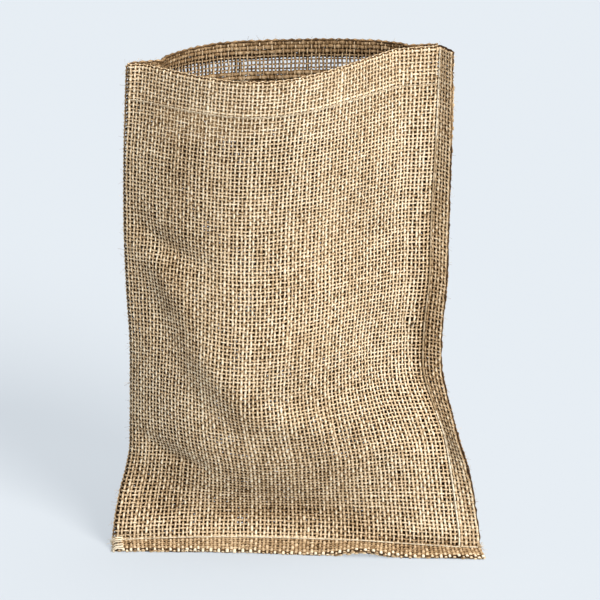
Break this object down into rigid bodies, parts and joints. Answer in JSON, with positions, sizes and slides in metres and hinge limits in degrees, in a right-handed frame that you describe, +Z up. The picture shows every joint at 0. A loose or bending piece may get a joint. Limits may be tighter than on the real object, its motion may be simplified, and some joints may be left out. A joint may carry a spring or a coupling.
{
  "type": "hessian sack",
  "caption": "Open-topped sack of coarse woven jute cloth, folded at one side, sewn at the other and along the bottom, hemmed at the mouth and standing empty on its bottom seam.",
  "frame": {"origin": "middle of the sack's footprint box, on the surface that it stands on", "axes": "+Z up to the mouth, +X from the folded side to the sewn side, -Y out of the front"},
  "size_m": [0.3516, 0.1312, 0.4873],
  "materials": {
    "jute": "matt open plain weave of unbleached jute yarn"
  },
  "bodies": {
    "root": {"sack": "jute"}
  },
  "joints": []
}
